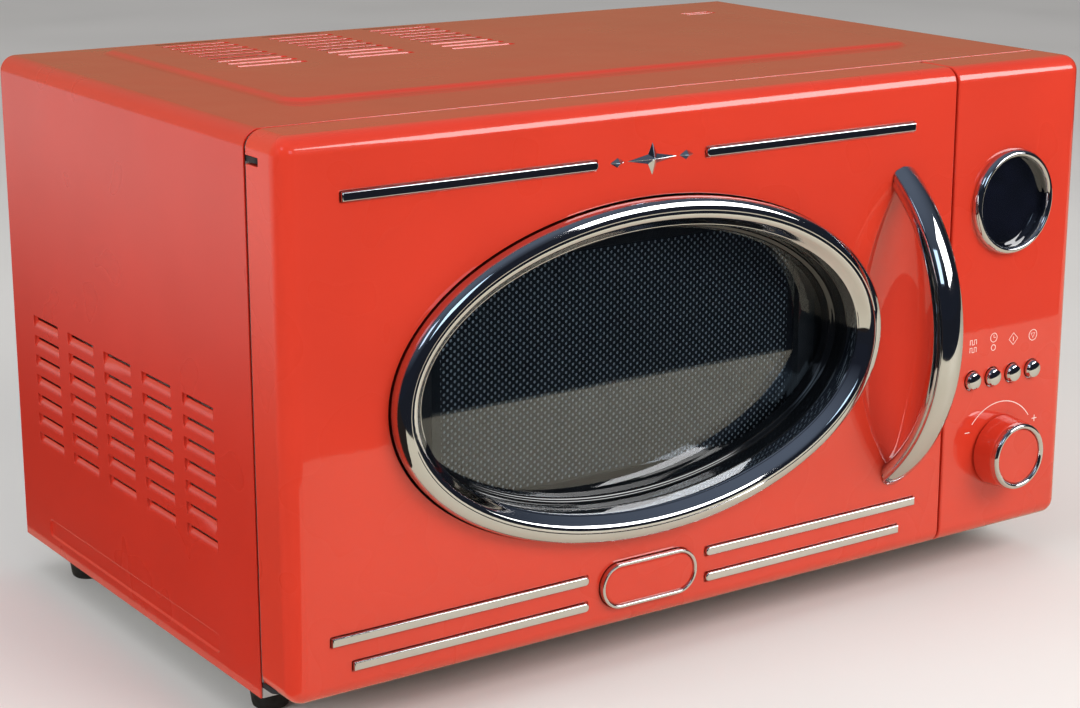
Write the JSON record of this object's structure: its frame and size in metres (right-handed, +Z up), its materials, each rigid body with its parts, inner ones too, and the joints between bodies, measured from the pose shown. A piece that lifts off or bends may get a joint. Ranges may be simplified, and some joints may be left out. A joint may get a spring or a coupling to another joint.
{
  "type": "microwave oven",
  "caption": "Countertop microwave oven with a side-hinged door, oval chrome-ringed window, arched handle, round display, push buttons, rotary knob and turntable.",
  "frame": {"origin": "middle of the footprint on the surface that the feet stand on", "axes": "+X to the right seen from the front, the front faces -Y, +Z up"},
  "size_m": [0.455, 0.3348, 0.2668],
  "materials": {
    "red_paint": "glossy baked enamel paint",
    "red_moulding": "glossy painted moulding",
    "chrome_trim": "polished chrome plate",
    "zinc_sheet": "zinc-coated sheet steel",
    "grey_sheet": "satin grey paint",
    "dark_sheet": "satin black paint",
    "oven_enamel": "grey oven enamel",
    "foot_rubber": "matte",
    "screw_steel": "bright steel",
    "hinge_steel": "black satin paint",
    "mica": "pressed mica sheet",
    "bright_metal": "satin",
    "core_iron": "varnished laminations",
    "copper": "enamelled copper wire",
    "circuit_board": "solder resist",
    "lamp_glass": "glazed",
    "white_plastic": "moulded",
    "black_plastic": "moulded",
    "black_gloss": "glossy moulded",
    "clear_glass": "tempered",
    "dark_glass": "smoked",
    "dark_lens": "smoked display window",
    "screen_steel": "black perforated sheet"
  },
  "bodies": {
    "cabinet": {"outer_cover": "red_paint", "base_plate": "zinc_sheet", "back_panel": "grey_sheet", "front_frame": "dark_sheet", "feet": "foot_rubber", "cabinet_screws": "screw_steel", "oven_cavity": "oven_enamel", "waveguide_cover": "mica", "waveguide": "zinc_sheet", "magnetron": "bright_metal", "transformer_core": "core_iron", "transformer_coils": "copper", "capacitor": "bright_metal", "capacitor_clamp": "zinc_sheet", "high_voltage_diode": "black_plastic", "fuse_board": "circuit_board", "cord_gland": "black_plastic", "thermal_cutout": "black_plastic", "oven_lamp": "lamp_glass", "fan_shroud": "black_plastic", "fan_motor": "core_iron", "turntable_motor": "zinc_sheet", "hinge_brackets": "hinge_steel", "interlock_housing": "white_plastic", "door_switches": "black_plastic", "control_panel": "red_moulding", "control_board": "circuit_board", "display_module": "black_plastic", "display_lens": "dark_lens", "display_ring": "chrome_trim", "encoder": "screw_steel"},
    "door": {"door_shell": "red_moulding", "window_bezel": "chrome_trim", "window_tunnel": "black_gloss", "window_glass": "dark_glass", "door_frame": "dark_sheet", "mesh_screen": "screen_steel", "inner_trim": "black_plastic", "door_handle": "chrome_trim", "handle_screws": "screw_steel", "trim_strips": "chrome_trim", "badge": "chrome_trim", "door_ornament": "chrome_trim", "latch_spring": "screw_steel"},
    "latch": {"latch_lever": "white_plastic"},
    "knob": {"encoder_shaft": "screw_steel", "knob_body": "red_moulding", "knob_ring": "chrome_trim"},
    "button_1": {"button_1": "chrome_trim"},
    "button_2": {"button_2": "chrome_trim"},
    "button_3": {"button_3": "chrome_trim"},
    "button_4": {"button_4": "chrome_trim"},
    "turntable": {"turntable_shaft": "screw_steel", "drive_coupler": "white_plastic", "glass_tray": "clear_glass"},
    "roller_ring": {"roller_ring": "white_plastic"},
    "roller_1": {"roller_1": "white_plastic"},
    "roller_2": {"roller_2": "white_plastic"},
    "roller_3": {"roller_3": "white_plastic"},
    "fan": {"fan_blade": "white_plastic"}
  },
  "joints": [
    {"name": "door_hinge", "type": "hinge", "parent": "cabinet", "child": "door", "pos_m": [-0.2225, -0.10445, 0.1435], "axis": [0, 0, -1], "range_deg": [0, 100]},
    {"name": "latch_lift", "type": "slide", "parent": "door", "child": "latch", "axis": [0, 0, 1], "range_m": [0, 0.004], "stiffness_N_per_m": 300, "springref_m": -0.004, "deforming": ["latch_spring"]},
    {"name": "knob_turn", "type": "hinge", "parent": "cabinet", "child": "knob", "pos_m": [0.1807, -0.12745, 0.0656], "axis": [0, -1, 0], "continuous": true},
    {"name": "button_1_press", "type": "slide", "parent": "cabinet", "child": "button_1", "axis": [0, 1, 0], "range_m": [0, 0.0012], "stiffness_N_per_m": 700, "springref_m": -0.0006},
    {"name": "button_2_press", "type": "slide", "parent": "cabinet", "child": "button_2", "axis": [0, 1, 0], "range_m": [0, 0.0012], "stiffness_N_per_m": 700, "springref_m": -0.0006},
    {"name": "button_3_press", "type": "slide", "parent": "cabinet", "child": "button_3", "axis": [0, 1, 0], "range_m": [0, 0.0012], "stiffness_N_per_m": 700, "springref_m": -0.0006},
    {"name": "button_4_press", "type": "slide", "parent": "cabinet", "child": "button_4", "axis": [0, 1, 0], "range_m": [0, 0.0012], "stiffness_N_per_m": 700, "springref_m": -0.0006},
    {"name": "turntable_turn", "type": "hinge", "parent": "cabinet", "child": "turntable", "pos_m": [-0.0452, 0.02925, 0.0564], "axis": [0, 0, 1], "continuous": true},
    {"name": "roller_ring_turn", "type": "hinge", "parent": "cabinet", "child": "roller_ring", "pos_m": [-0.0452, 0.02925, 0.0491], "axis": [0, 0, 1], "continuous": true},
    {"name": "roller_1_spin", "type": "hinge", "parent": "roller_ring", "child": "roller_1", "pos_m": [-0.0452, 0.12095, 0.0491], "axis": [0, 1, 0], "continuous": true},
    {"name": "roller_2_spin", "type": "hinge", "parent": "roller_ring", "child": "roller_2", "pos_m": [-0.12462, -0.0166, 0.0491], "axis": [-0.866, -0.5, 0], "continuous": true},
    {"name": "roller_3_spin", "type": "hinge", "parent": "roller_ring", "child": "roller_3", "pos_m": [0.03422, -0.0166, 0.0491], "axis": [0.866, -0.5, 0], "continuous": true},
    {"name": "fan_spin", "type": "hinge", "parent": "cabinet", "child": "fan", "pos_m": [0.1674, 0.14545, 0.18], "axis": [0, 1, 0], "continuous": true}
  ],
  "couplings": [
    {"joint": "roller_ring_turn", "follows": "turntable_turn", "ratio": 0.5},
    {"joint": "roller_1_spin", "follows": "turntable_turn", "ratio": -6.55},
    {"joint": "roller_2_spin", "follows": "turntable_turn", "ratio": -6.55},
    {"joint": "roller_3_spin", "follows": "turntable_turn", "ratio": -6.55}
  ]
}
